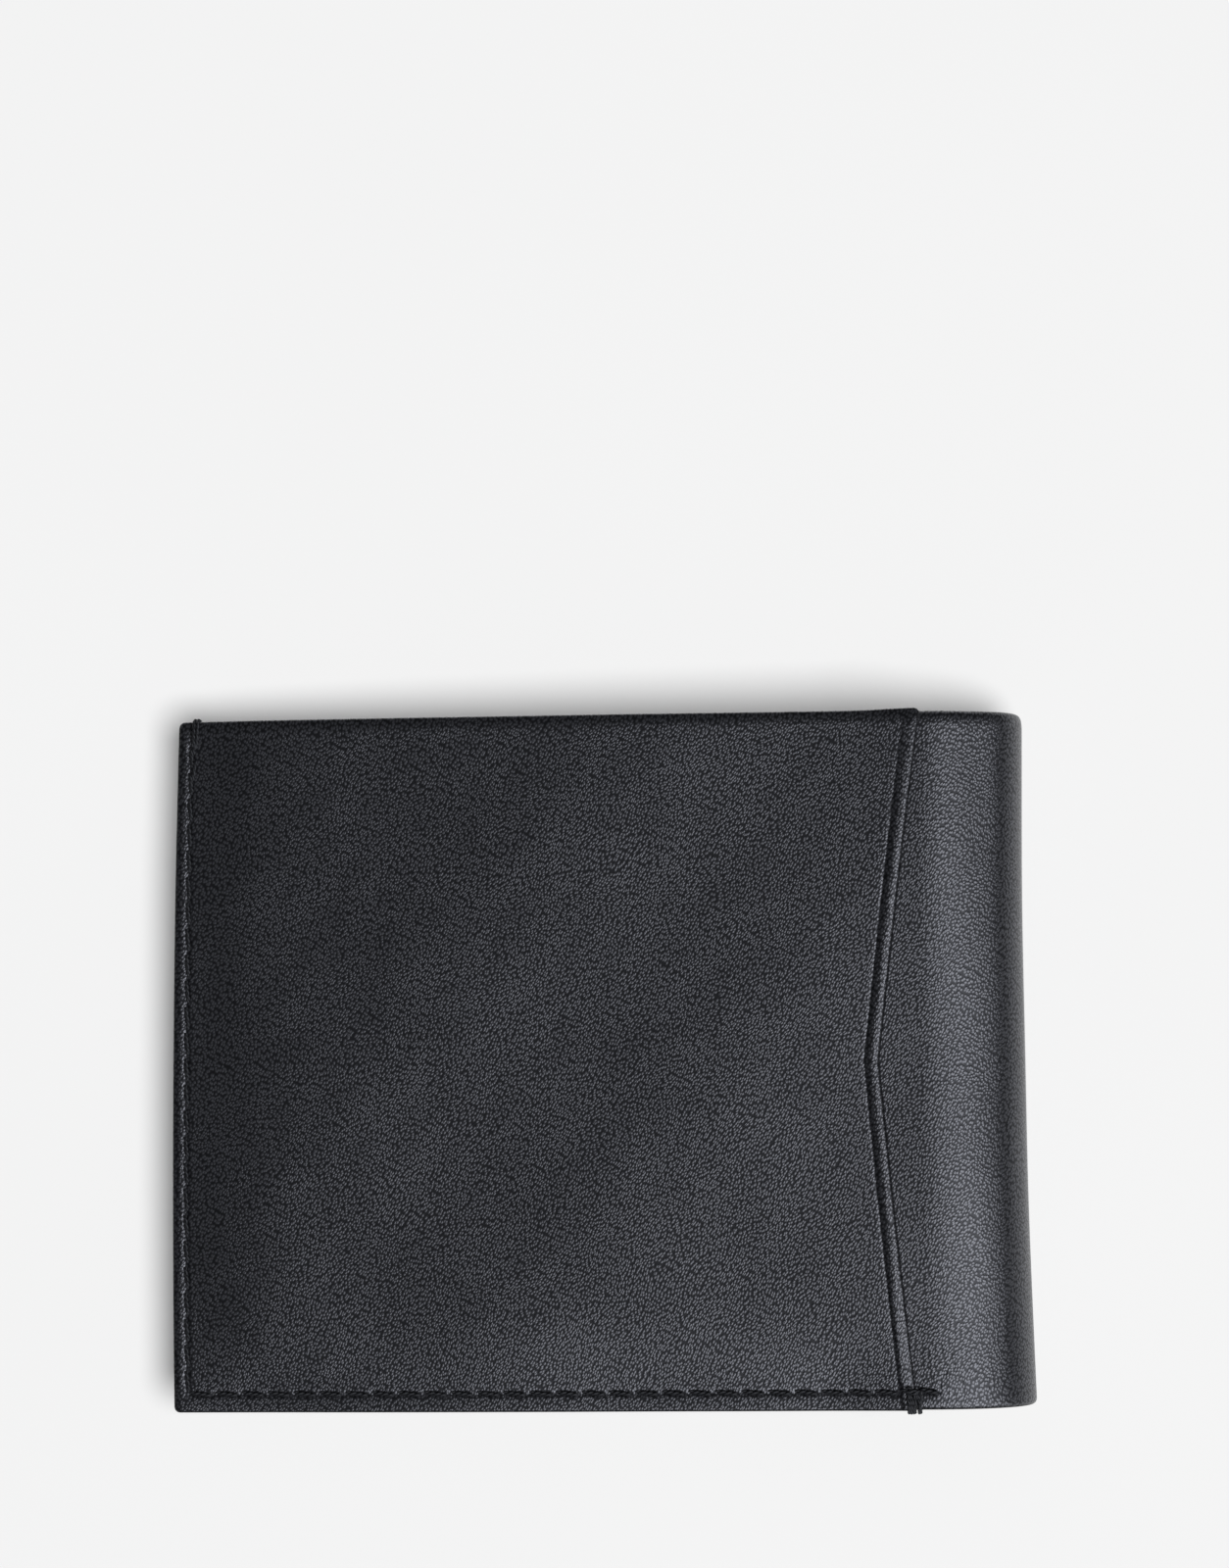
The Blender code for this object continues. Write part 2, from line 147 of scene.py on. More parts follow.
# Seams
SIDE_SEAM_INSET = 1.9 * MM
BOTTOM_SEAM_INSET = 2.5 * MM
SEAM_Y = BOTTOM + BOTTOM_SEAM_INSET
SIDE_SEAM = HALF_LENGTH - SIDE_SEAM_INSET
SEAM_END = 2.2 * MM             # where the front half's bottom seam ends, from the bend
POCKET_SEAM_END = 3.6 * MM      # the same for the back half's, at the outer pocket's mouth
STITCH_PITCH = 3.5 * MM
THREAD_RADIUS = 0.28 * MM
STITCH_SLANT = 0.2 * MM
SEAM_SINK = 0.06 * MM
SEAM_SINK_OUT, SEAM_SINK_IN = 0.85 * MM, 0.28 * MM
STITCH_SINK = 0.26 * MM
STITCH_SINK_LENGTH, STITCH_SINK_WIDTH = 1.4 * MM, 0.31 * MM
STITCH_REST = 0.12 * MM         # a stitch lies this far above its dent's bottom

# How far the faces fall away towards the edges, and over which reach
TOP_FALL, TOP_FALL_REACH = 0.36 * MM, 1.9 * MM
SIDE_FALL, SIDE_FALL_REACH = 0.28 * MM, 1.1 * MM

# Mouth of the outer pocket: distances from the bend, and the turned edge beside it
MOUTH_BOTTOM = 1.2 * MM
MOUTH_APEX = 4.95 * MM
MOUTH_TOP = -0.7 * MM
HEM_WIDTH_END = 2.15 * MM
HEM_WIDTH_APEX = 2.05 * MM
HEM_RISE = 0.24 * MM
CREASE_DEPTH = 0.1 * MM
CREASE_REACH = 0.15 * MM

# Tack at the mouth's lower end
TACK_STRANDS = 6
TACK_START = 0.75 * MM
TACK_STEP = 0.34 * MM

# Table and camera, whose turn is in degrees
TABLE_REACH = 40.0
TABLE_GAP = 0.05 * MM
CAMERA_HEIGHT = 0.55
CAMERA_X = 1.99 * MM
CAMERA_TURN = -0.55

# Rounded edges: their steps, and how square they are (2 for a round edge)
ROUND_STEPS = 6
EDGE_POWER = 2.7


# Flat places and the cross-section

def smooth_step(value):
    value = np.clip(value, 0.0, 1.0)
    return value * value * (3.0 - 2.0 * value)


def outward(turn):
    """The direction out of the leather at a turn round the bend, as x and z."""
    return np.sin(turn), -np.cos(turn)


def turn_centres():
    """The centre of each turn's arc, as in the CAD source."""
    x, z = BEND_START_X, RADII[0]
    centres = [(x, z)]
    for i in range(1, HINGES):
        step_x, step_z = outward(i * STEP)
        x += (RADII[i - 1] - RADII[i]) * step_x
        z += (RADII[i - 1] - RADII[i]) * step_z
        centres.append((x, z))
    return np.array(centres)


CENTRES = turn_centres()


def section(path, depth):
    """The point of the cross-section at a path and depth, as x and z."""
    turn = np.interp(path, TURN_ENDS, np.arange(HINGES + 1) * STEP)
    run = np.minimum(path, 0.0) + np.maximum(path - BEND_LENGTH, 0.0)
    index = np.clip((turn / STEP).astype(int), 0, HINGES - 1)
    out_x, out_z = outward(turn)
    radius = RADII[index] - depth
    x = CENTRES[index, 0] + radius * out_x - run * out_z
    z = CENTRES[index, 1] + radius * out_z + run * out_x
    return x, z


def from_bend(path):
    """How far a path is from the bend along its half. It is below 0 inside the bend."""
    return np.maximum(-path, path - BEND_LENGTH)


def on_half(half, distance):
    """The path at a distance from the bend on a half."""
    return -distance if half == "front" else BEND_LENGTH + distance


def sewn_share(path, y):
    """From 0 to 1, how far the layers are pressed together by the side and bottom seams."""
    distance = from_bend(path)
    side = np.exp(-((HALF_LENGTH - distance) / PRESS_REACH) ** 2)
    bottom = np.exp(-((y - BOTTOM) / PRESS_REACH) ** 2) * smooth_step(distance / PRESS_FADE)
    return 1.0 - (1.0 - side) * (1.0 - bottom)


def waves(path, y):
    """The back half's crown and soft leather's slight unevenness, as a depth. The front half lies flat."""
    u = path / MM
    v = y / MM
    wave = 0.11 * np.sin(u / 13.0 + 0.6) * np.cos(v / 17.0 + 0.4)
    wave += 0.07 * np.sin(u / 7.3 + v / 9.1 + 1.9)
    wave += 0.04 * np.sin(u / 4.1 - v / 5.7)
    along = np.clip((path - BEND_LENGTH) / HALF_LENGTH, 0.0, 1.0)
    crown = 4.0 * CROWN * along * (1.0 - along)
    lean = (y - MIDDLE) / (TOP - MIDDLE)
    fall = SHOULDER_FALL * (lean + 0.2 * lean ** 2 + 0.2)
    shoulder = fall * np.exp(-((path - BEND_LENGTH + SHOULDER_BEFORE_BEND) / SHOULDER_REACH) ** 2)
    return wave * MM * smooth_step(path / BEND_LENGTH) - crown + shoulder


def taper(x, y):
    """How far a place moves along x, because the open edge leans in at the top and the spine swells below."""
    v = (y - MIDDLE) / (TOP - MIDDLE)
    at_left = LEFT_LEAN * v + LEFT_BOW * v * v
    at_right = RIGHT_LEAN * v + RIGHT_BOW * v * v
    share = (x - LEFT) / (CAD_BOX[1].x - LEFT)
    return at_left + (at_right - at_left) * share


def place(flat):
    """The points in the row frame of an array of flat places."""
    path, y, depth = flat[..., 0], flat[..., 1], flat[..., 2]
    share = sewn_share(path, y)
    depth = depth + share * (np.interp(depth, LOOSE, PRESSED) - depth + PINCH) + waves(path, y)
    x, z = section(path, depth)
    return np.stack([x + taper(x, y), y, z], axis=-1)


# Meshes

def stations(low, high, step, fine=(), round_low=0.0, round_high=0.0):
    """Places from low to high, step apart, closer at round ends and in fine ranges, (start, end, step)."""
    start = low + round_low
    end = high - round_high
    places = [start]
    while places[-1] < end - NEARLY:
        near = [size for first, last, size in fine if first - size < places[-1] < last]
        places.append(places[-1] + min([step] + near))
    middle = start + (np.array(places) - start) * (end - start) / (places[-1] - start)
    closing = 1.0 - np.cos(np.linspace(0.0, math.pi / 2, ROUND_STEPS + 1)[:-1])
    lows = low + round_low * closing if round_low else []
    highs = (high - round_high * closing)[::-1] if round_high else []
    return np.concatenate([lows, middle, highs])


def make_mesh(name, flat, faces, flat_faces=()):
    """An object whose vertices are flat places, which stay on it as flat_place for its patterns."""
    flat = np.asarray(flat, float)
    mesh = bpy.data.meshes.new(name)
    mesh.from_pydata(place(flat).tolist(), [], faces)
    kept = mesh.attributes.new("flat_place", "FLOAT_VECTOR", "POINT")
    kept.data.foreach_set("vector", flat.astype(np.float32).ravel())
    smooth = np.ones(len(faces), bool)
    smooth[list(flat_faces)] = False
    mesh.polygons.foreach_set("use_smooth", smooth)
    item = bpy.data.objects.new(name, mesh)
    bpy.context.scene.collection.objects.link(item)
    return item


def slab(paths, ys, outer, inner, round_low=True, round_high=True, corner=0.0):
    """The flat places of a sheet's two faces on a grid.

    outer and inner give each face's depth from (path, y). Both y ends are rounded, and so are the path ends
    that round_low and round_high name. The two faces meet there. corner rounds the sheet's outline.
    """
    path, y = np.meshgrid(paths, ys, indexing="ij")
    far = np.full(path.shape, 1.0)
    low_gap = path - path[0] if round_low else far
    high_gap = path[-1] - path if round_high else far
    y_gap = np.minimum(y - y[:, :1], y[:, -1:] - y)
    gap = np.minimum(np.minimum(low_gap, high_gap), y_gap)
    outer_depth = outer(path, y)
    inner_depth = inner(path, y)
    half = (inner_depth - outer_depth) / 2
    closing = (1.0 - (1.0 - np.clip(gap / half, 0.0, 1.0)) ** EDGE_POWER) ** (1.0 / EDGE_POWER)
    middle = (inner_depth + outer_depth) / 2
    path, y = rounded_outline(path, y, np.minimum(low_gap, high_gap), y_gap, corner)
    outer_flat = np.stack([path, y, middle - half * closing], axis=-1)
    inner_flat = np.stack([path, y, middle + half * closing], axis=-1)
    return outer_flat, inner_flat


def rounded_outline(path, y, path_gap, y_gap, corner):
    """Moves the grid's points near its corners, so that its outline there is an arc of that radius."""
    if not corner:
        return path, y
    across = np.maximum(corner - path_gap, 0.0)
    up = np.maximum(corner - y_gap, 0.0)
    reach = np.maximum(np.hypot(across, up), TINY)
    share = np.maximum(across, up) / reach
    near = (across > 0) & (up > 0)
    middle_path = (path[0] + path[-1]) / 2
    middle_y = (y[:, :1] + y[:, -1:]) / 2
    path = np.where(near, path + np.sign(middle_path - path) * across * (1 - share), path)
    y = np.where(near, y + np.sign(middle_y - y) * up * (1 - share), y)
    return path, y


def close_slab(name, outer_flat, inner_flat, cap_low=False, cap_high=False):
    """The closed object of a slab's two faces, whose path ends are capped or meet.

    Returns the object and its vertices' numbers on the outer and inner grids.
    """
    rows, columns = outer_flat.shape[:2]
    outer_index = np.arange(rows * columns).reshape(rows, columns)
    inner_index = outer_index + rows * columns
    inner_index[:, 0] = outer_index[:, 0]
    inner_index[:, -1] = outer_index[:, -1]
    if not cap_low:
        inner_index[0] = outer_index[0]
    if not cap_high:
        inner_index[-1] = outer_index[-1]

    def quads(index):
        corners = [index[:-1, :-1], index[1:, :-1], index[1:, 1:], index[:-1, 1:]]
        return np.stack(corners, axis=-1).reshape(-1, 4)

    faces = quads(outer_index)[:, ::-1].tolist() + quads(inner_index).tolist()
    caps = []
    for row, wanted in ((0, cap_low), (-1, cap_high)):
        if wanted:
            ring = outer_index[row].tolist() + inner_index[row, -2:0:-1].tolist()
            caps.append(ring if row == 0 else ring[::-1])
    flat_faces = range(len(faces), len(faces) + len(caps))
    used = np.unique(np.concatenate([outer_index.ravel(), inner_index.ravel()]))
    number = np.zeros(2 * rows * columns, int)
    number[used] = np.arange(len(used))
    flat = np.concatenate([outer_flat.reshape(-1, 3), inner_flat.reshape(-1, 3)])[used]
    faces = [[int(number[i]) for i in face] for face in faces + caps]
    return make_mesh(name, flat, faces, flat_faces), number[outer_index], number[inner_index]


def grid_normals(points):
    """The normals of a grid of points, away from the layers' inside for an outer face."""
    along = np.gradient(points, axis=0)
    up = np.gradient(points, axis=1)
    normals = np.cross(up, along)
    return normals / np.maximum(np.linalg.norm(normals, axis=-1, keepdims=True), TINY)


def match_normals(item, wanted):
    """Sets vertices' normals, {vertex: normal}, on smooth faces, so that two pieces join unseen."""
    mesh = item.data
    normals = np.zeros((len(mesh.loops), 3))
    for polygon in mesh.polygons:
        if polygon.use_smooth:
            for loop in polygon.loop_indices:
                vertex = mesh.loops[loop].vertex_index
                if vertex in wanted:
                    normals[loop] = wanted[vertex]
    mesh.normals_split_custom_set(normals.tolist())


def piece_ending(number, count):
    """The end of a piece's name in a layer of count pieces."""
    if number == 0:
        return "_front"
    if number == count - 1:
        return "_back"
    return "_spine_" + str(number)


def divided_layer(prefix, paths, ys, outer, inner, corner, finish):
    """A layer that runs from the front half round the spine to the back half, as one piece for each hinge.

    paths holds each piece's path stations, each piece over its own turn. outer and inner give the faces'
    depths from (path, y), and finish gives each piece its material.
    """
    joined = np.concatenate([paths[0]] + [part[1:] for part in paths[1:]])
    outer_flat, inner_flat = slab(joined, ys, outer, inner, corner=corner)
    outer_normals = grid_normals(place(outer_flat))
    inner_normals = -grid_normals(place(inner_flat))
    pieces = []
    first = 0
    for i, part in enumerate(paths):
        rows = slice(first, first + len(part))
        ends = (i > 0, i < len(paths) - 1)
        name = prefix + piece_ending(i, len(paths))
        item, outer_index, inner_index = close_slab(name, outer_flat[rows], inner_flat[rows], *ends)
        wanted = {}
        for index, normals in ((outer_index, outer_normals[rows]), (inner_index, inner_normals[rows])):
            for row, capped in ((0, ends[0]), (-1, ends[1])):
                if capped:
                    for vertex, normal in zip(index[row][1:-1].tolist(), normals[row][1:-1]):
                        wanted[vertex] = normal
        match_normals(item, wanted)
        finish(item)
        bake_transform(item)
        pieces.append(item)
        first += len(part) - 1
    return pieces


def across_line(line):
    """Two directions square to a line and to each other, at each of its points."""
    along = np.gradient(line, axis=0)
    along /= np.linalg.norm(along, axis=1, keepdims=True)
    side = np.cross(along, (0.0, 0.0, 1.0))
    side /= np.maximum(np.linalg.norm(side, axis=1, keepdims=True), TINY)
    return side, np.cross(side, along)


def add_tube(flat, faces, line, radius, sides=6):
    """Adds a closed tube round a line of flat places to the lists."""
    side, rise = across_line(line)
    angles = np.arange(sides) * 2 * math.pi / sides
    ring = np.cos(angles)[None, :, None] * side[:, None] + np.sin(angles)[None, :, None] * rise[:, None]
    start = len(flat)
    flat.extend((line[:, None] + ring * radius).reshape(-1, 3).tolist())
    for i in range(len(line) - 1):
        for j in range(sides):
            k = (j + 1) % sides
            low = start + i * sides
            faces.append([low + j, low + k, low + sides + k, low + sides + j])
    faces.append([start + j for j in reversed(range(sides))])
    faces.append([start + (len(line) - 1) * sides + j for j in range(sides)])


def add_strand(flat, faces, line, radius=THREAD_RADIUS, twist=1.6 * MM):
    """Adds a two-ply twisted thread round a line of flat places: two plies that wind round each other."""
    line = np.asarray(line, float)
    steps = np.linalg.norm(np.diff(line, axis=0), axis=1)
    length = np.concatenate([[0.0], np.cumsum(steps)])
    at = np.linspace(0.0, length[-1], max(6, int(length[-1] / (0.16 * MM))))
    line = np.stack([np.interp(at, length, line[:, k]) for k in range(3)], axis=1)
    side, rise = across_line(line)
    for phase in (0.0, math.pi):
        angle = (2 * math.pi * at / twist + phase)[:, None]
        ply = line + (np.cos(angle) * side + np.sin(angle) * rise) * radius * 0.45
        add_tube(flat, faces, ply, radius * 0.62)


# Materials. The wallet's patterns lie on its flat places, in millimetres.

GRAIN_TURN = -62.0
GRAIN_STRETCH = (1.25, 0.85, 1.0)
CRIMP_SCALE = (0.25, 1.5, 1.0)
DRAWN_SCALE = (1.8, 0.3, 1.0)
LEATHER_TINT = (0.86, 0.89, 1.0, 1.0)
THREAD_TINT = (0.86, 0.9, 1.0, 1.0)


class Graph:
    """The nodes of one material."""

    def __init__(self, name):
        self.material = bpy.data.materials.new(name)
        self.material.use_nodes = True
        self.tree = self.material.node_tree
        self.shader = self.tree.nodes["Principled BSDF"]

    def add(self, kind, inputs=(), **settings):
        """A node with its settings. inputs are (socket, value) pairs, whose value may be a node's output."""
        node = self.tree.nodes.new("ShaderNode" + kind)
        for key, value in settings.items():
            setattr(node, key, value)
        for socket, value in inputs:
            self.feed(node.inputs[socket], value)
        return node

    def feed(self, socket, value):
        if isinstance(value, bpy.types.NodeSocket):
            self.tree.links.new(value, socket)
        else:
            socket.default_value = value

    def place_mm(self):
        """The flat place in millimetres."""
        kept = self.add("Attribute", attribute_name="flat_place")
        per_metre = (1.0 / MM,) * 3
        scaled = self.add("VectorMath", [(0, kept.outputs["Vector"]), (1, per_metre)], operation="MULTIPLY")
        return scaled.outputs[0]

    def mask(self, name):
        """A value kept on a piece's vertices. It is 0 where the piece has none of that name."""
        return self.add("Attribute", attribute_name=name).outputs["Fac"]

    def mapped(self, vector, scale=(1.0, 1.0, 1.0), turn=0.0, kind="POINT"):
        """A vector scaled, and turned about z by that many degrees."""
        rotation = (0.0, 0.0, math.radians(turn))
        inputs = [("Vector", vector), ("Rotation", rotation), ("Scale", scale)]
        return self.add("Mapping", inputs, vector_type=kind).outputs[0]

    def noise(self, vector, scale, detail=2.0, roughness=0.5):
        """Smooth noise from 0 to 1, with about scale lumps to the vector's unit."""
        inputs = [("Vector", vector), ("Scale", scale), ("Detail", detail), ("Roughness", roughness)]
        return self.add("TexNoise", inputs).outputs["Fac"]

    def shifted(self, vector, scale, amount):
        """A vector moved by smooth noise, by up to about half the amount each way."""
        inputs = [("Vector", vector), ("Scale", scale), ("Detail", 2.0), ("Roughness", 0.5)]
        noise = self.add("TexNoise", inputs).outputs["Color"]
        centred = self.add("VectorMath", [(0, noise), (1, (0.5,) * 3)], operation="SUBTRACT")
        sized = self.add("VectorMath", [(0, centred.outputs[0]), (1, (amount,) * 3)], operation="MULTIPLY")
        return self.add("VectorMath", [(0, vector), (1, sized.outputs[0])], operation="ADD").outputs[0]

    def ramp(self, value, low, high, to_low=0.0, to_high=1.0):
        """The value, mapped smoothly from one range to another."""
        return self.add("MapRange", [
            (0, value), (1, low), (2, high), (3, to_low), (4, to_high),
        ], interpolation_type="SMOOTHSTEP").outputs[0]

    def maths(self, operation, a, b):
        return self.add("Math", [(0, a), (1, b)], operation=operation).outputs[0]

    def mixed(self, share, a, b):
        """A colour between two, linear RGB."""
        mix = self.add("Mix", [("Factor", share)], data_type="RGBA")
        self.feed(mix.inputs[6], (*a, 1.0))
        self.feed(mix.inputs[7], (*b, 1.0))
        return mix.outputs[2]

    def bump(self, height, distance, strength=1.0, under=None):
        inputs = [("Height", height), ("Distance", distance), ("Strength", strength)]
        if under:
            inputs.append(("Normal", under))
        return self.add("Bump", inputs).outputs[0]

    def finish(self, **sockets):
        """Feeds the shader's sockets, whose names are written with _ for a space."""
        for name, value in sockets.items():
            self.feed(self.shader.inputs[name.replace("_", " ")], value)
        return self.material


def pebbles(graph, where, cell):
    """Slanting pebbles of that width in mm: 1 at their tops and 0 between them."""
    turned = graph.mapped(graph.shifted(where, 0.11, 2.0), GRAIN_STRETCH, GRAIN_TURN, "TEXTURE")
    cells = graph.add("TexVoronoi", [
        ("Vector", turned), ("Scale", 1.0 / cell), ("Randomness", 0.75),
    ], voronoi_dimensions="2D")
    return graph.ramp(cells.outputs["Distance"], 0.1, 0.65, 1.0, 0.0)


def wrinkles(graph, where):
    """The wrinkles of a piece's two masks: crimp across a turned edge, and drawn upright above the tack."""
    folds = graph.mapped(graph.shifted(where, 0.9, 0.5), CRIMP_SCALE)
    crimps = graph.maths("MULTIPLY", graph.mask("crimp"), graph.noise(folds, 1.0, detail=1.0))
    lines = graph.mapped(graph.shifted(where, 0.3, 1.2), DRAWN_SCALE)
    draws = graph.maths("MULTIPLY", graph.mask("drawn"), graph.noise(lines, 1.0, detail=1.0))
    return graph.maths("ADD", crimps, draws)


def leather(name, cell, depth, dark, light, rough_low, rough_high):
    """Grained leather, whose pebbles are cell mm wide and depth metres high. Its colour is lighter at their
    tops
    and darker in the crevices between them: partly the grain's own colour, partly painted shade in the
    crevices.

    Where the piece's painted mask is 1, its edge is darker, duller and less shiny: dull black edge paint on
    the side and bottom edges, and painted shade along the outer pocket's folded mouth.
    """
    graph = Graph(name)
    where = graph.place_mm()
    pebble = pebbles(graph, where, cell)
    broad = graph.noise(where, 0.16)
    painted = graph.mask("painted")
    # The colour is darker between the pebbles: partly the grain's own colour, partly painted shade in the
    # crevices.
    grain_with_crevice_shade = graph.maths("MULTIPLY", pebble, graph.ramp(broad, 0.3, 0.7, 0.85, 1.0))
    # Darker along the painted mask: edge paint, and painted shade along the outer pocket's mouth.
    grain_with_crevice_shade = graph.maths("MULTIPLY", grain_with_crevice_shade, graph.ramp(painted, 0.0, 1.0, 1.0, 0.2))
    shine = graph.ramp(pebble, 0.2, 0.9, 0.35, 1.0)
    shine = graph.maths("MULTIPLY", shine, graph.ramp(painted, 0.0, 1.0, 1.0, 0.25))
    rough = graph.ramp(pebble, 0.2, 0.9, rough_high, rough_low)
    rough = graph.maths("MAXIMUM", rough, graph.maths("MULTIPLY", painted, 0.6))
    uneven = graph.bump(broad, 0.06 * MM)
    wrinkled = graph.bump(wrinkles(graph, where), 0.5 * MM, under=uneven)
    return graph.finish(
        Base_Color=graph.mixed(grain_with_crevice_shade, dark, light), Roughness=rough, Specular_IOR_Level=shine,
        Specular_Tint=LEATHER_TINT, Normal=graph.bump(pebble, depth, under=wrinkled),
    )


def twill(name, dark, light):
    """A fine twill: slanting ribs of a warp over a weft."""
    graph = Graph(name)
    where = graph.shifted(graph.place_mm(), 2.0, 0.06)
    ribs = graph.add("TexWave", [
        ("Vector", graph.mapped(where, turn=63.0)), ("Scale", 0.62), ("Distortion", 0.4),
        ("Detail", 1.0), ("Detail Scale", 3.0),
    ]).outputs["Fac"]
    yarns = graph.add("TexWave", [
        ("Vector", where), ("Scale", 1.1), ("Distortion", 0.3),
    ], bands_direction="Y").outputs["Fac"]
    weave = graph.maths("ADD", ribs, graph.maths("MULTIPLY", yarns, 0.45))
    lint = graph.noise(where, 0.9, detail=3.0)
    shade = graph.maths("MULTIPLY", weave, graph.ramp(lint, 0.3, 0.7, 0.5, 0.8))
    return graph.finish(
        Base_Color=graph.mixed(shade, dark, light), Roughness=graph.ramp(lint, 0.3, 0.7, 0.75, 0.9),
        Specular_IOR_Level=0.25, Normal=graph.bump(weave, 0.05 * MM),
    )


def grosgrain(name, dark, light):
    """A ribbed tape, whose ribs run across it."""
    graph = Graph(name)
    where = graph.shifted(graph.place_mm(), 1.5, 0.08)
    ribs = graph.add("TexWave", [
        ("Vector", where), ("Scale", 0.75), ("Distortion", 0.2),
    ], bands_direction="X").outputs["Fac"]
    fuzz = graph.noise(where, 6.0)
    height = graph.maths("ADD", ribs, graph.maths("MULTIPLY", fuzz, 0.3))
    return graph.finish(
        Base_Color=graph.mixed(height, dark, light), Roughness=graph.ramp(fuzz, 0.3, 0.7, 0.6, 0.8),
        Specular_IOR_Level=0.25, Normal=graph.bump(height, 0.06 * MM),
    )


def board(name, dark, light):
    """Grey-brown board with flecks and short fibres."""
    graph = Graph(name)
    where = graph.place_mm()
    flecks = graph.noise(where, 1.6, detail=4.0, roughness=0.7)
    fibres = graph.noise(graph.mapped(graph.shifted(where, 0.4, 1.5), (0.5, 4.0, 1.0)), 1.2)
    height = graph.maths("ADD", flecks, fibres)
    return graph.finish(
        Base_Color=graph.mixed(graph.ramp(height, 0.7, 1.3), dark, light),
        Roughness=graph.ramp(flecks, 0.3, 0.7, 0.8, 0.95), Normal=graph.bump(height, 0.05 * MM),
    )


def thread_material(name, dark, light):
    """Waxed thread with fine fibres."""
    graph = Graph(name)
    fibres = graph.noise(graph.place_mm(), 5.0, detail=3.0, roughness=0.7)
    return graph.finish(
        Base_Color=graph.mixed(graph.ramp(fibres, 0.35, 0.65), dark, light),
        Roughness=graph.ramp(fibres, 0.3, 0.7, 0.4, 0.6), Specular_IOR_Level=0.25, Specular_Tint=THREAD_TINT,
        Normal=graph.bump(fibres, 0.03 * MM),
    )


def table_material():
    """A pale surface, slightly cloudy."""
    graph = Graph("pale_table")
    cloud = graph.noise(graph.add("TexCoord").outputs["Object"], 9.0)
    colour = graph.mixed(cloud, (0.80, 0.80, 0.80), (0.82, 0.82, 0.82))
    return graph.finish(Base_Color=colour, Roughness=0.6, Specular_IOR_Level=0.2)


SHELL_LEATHER = leather(
    "black_leather", cell=0.42, depth=0.024 * MM, dark=(0.004, 0.0042, 0.005), light=(0.025, 0.0258, 0.030),
    rough_low=0.26, rough_high=0.34,
)
POCKET_LEATHER = leather(
    "pocket_leather", cell=0.35, depth=0.014 * MM, dark=(0.01, 0.0104, 0.012), light=(0.026, 0.027, 0.031),
    rough_low=0.36, rough_high=0.46,
)
LINING_FABRIC = twill("lining_fabric", (0.006, 0.006, 0.007), (0.024, 0.024, 0.027))
BINDING_TAPE = grosgrain("edge_binding", (0.006, 0.006, 0.007), (0.026, 0.026, 0.029))
BOARD = board("stiffener_board", (0.2, 0.165, 0.12), (0.36, 0.31, 0.24))
THREAD = thread_material("black_thread", (0.005, 0.0052, 0.006), (0.018, 0.0187, 0.0215))


def finisher(material):
    """A function that gives a piece its material."""
    def finish(item):
        item.data.materials.append(material)
    return finish


finish_shell = finisher(SHELL_LEATHER)
finish_pocket_leather = finisher(POCKET_LEATHER)
finish_lining = finisher(LINING_FABRIC)
finish_binding = finisher(BINDING_TAPE)
finish_board = finisher(BOARD)
finish_thread = finisher(THREAD)


# Seams

def stitch_dent(along, across):
    """How far leather sinks round a seam, and in each stitch's slanted dent. across is towards the edge."""
    share = along / STITCH_PITCH
    phase = (share - np.floor(share) - 0.5) * STITCH_PITCH
    slanted = across - STITCH_SLANT * phase / STITCH_PITCH * 2
    reach = np.where(across > 0, SEAM_SINK_OUT, SEAM_SINK_IN)
    groove = SEAM_SINK * np.exp(-(across / reach) ** 2)
    dent = np.exp(-(phase / STITCH_SINK_LENGTH) ** 4 - (slanted / STITCH_SINK_WIDTH) ** 4)
    return groove + STITCH_SINK * dent


def seam_relief(half_distance, y, seam_end):
    """The depth of the side and bottom seams at a distance from the bend."""
    side_across = half_distance - SIDE_SEAM
    bottom_across = SEAM_Y - y
    on_side = smooth_step((y - SEAM_Y + 0.6 * MM) / (0.6 * MM))
    on_bottom = smooth_step((SIDE_SEAM - half_distance + 0.6 * MM) / (0.6 * MM))
    on_bottom = on_bottom * smooth_step((half_distance - seam_end + 0.4 * MM) / (0.8 * MM))
    side = stitch_dent(y - SEAM_Y, side_across) * on_side
    bottom = stitch_dent(SIDE_SEAM - half_distance, bottom_across) * on_bottom
    return np.maximum(side, bottom)


def edge_fall(gap, fall, reach):
    """How far a face falls away at a gap from its edge."""
    share = np.clip(1.0 - gap / reach, 0.0, 1.0)
    return fall * share * share


# The places of a stitch's line: share of its length, rise above the leather in mm, and slant
STITCH_SHAPE = (
    (0.07, -0.45, -1.0), (0.10, -0.1, -0.95), (0.16, 0.06, -0.8), (0.3, 0.12, -0.45), (0.5, 0.14, 0.0),
    (0.7, 0.12, 0.45), (0.84, 0.06, 0.8), (0.90, -0.1, 0.95), (0.93, -0.45, 1.0),
)


def stitch_line(half, start, end, edge, depth, lift):
    """The flat places of one stitch between two places of a half, each (distance from the bend, y).

    The stitch slants towards edge, a direction, and dives into its two needle holes. depth gives the face's
    depth from (path, y). lift scales its rise: above 0 on an outer face and below 0 on an inner face.
    """
    start = np.asarray(start, float)
    along = np.asarray(end, float) - start
    points = []
    for share, rise, slant in STITCH_SHAPE:
        distance, y = start + along * share + np.asarray(edge) * slant * STITCH_SLANT
        path = on_half(half, distance)
        points.append((path, y, float(depth(path, y)) - lift * rise * MM))
    return points


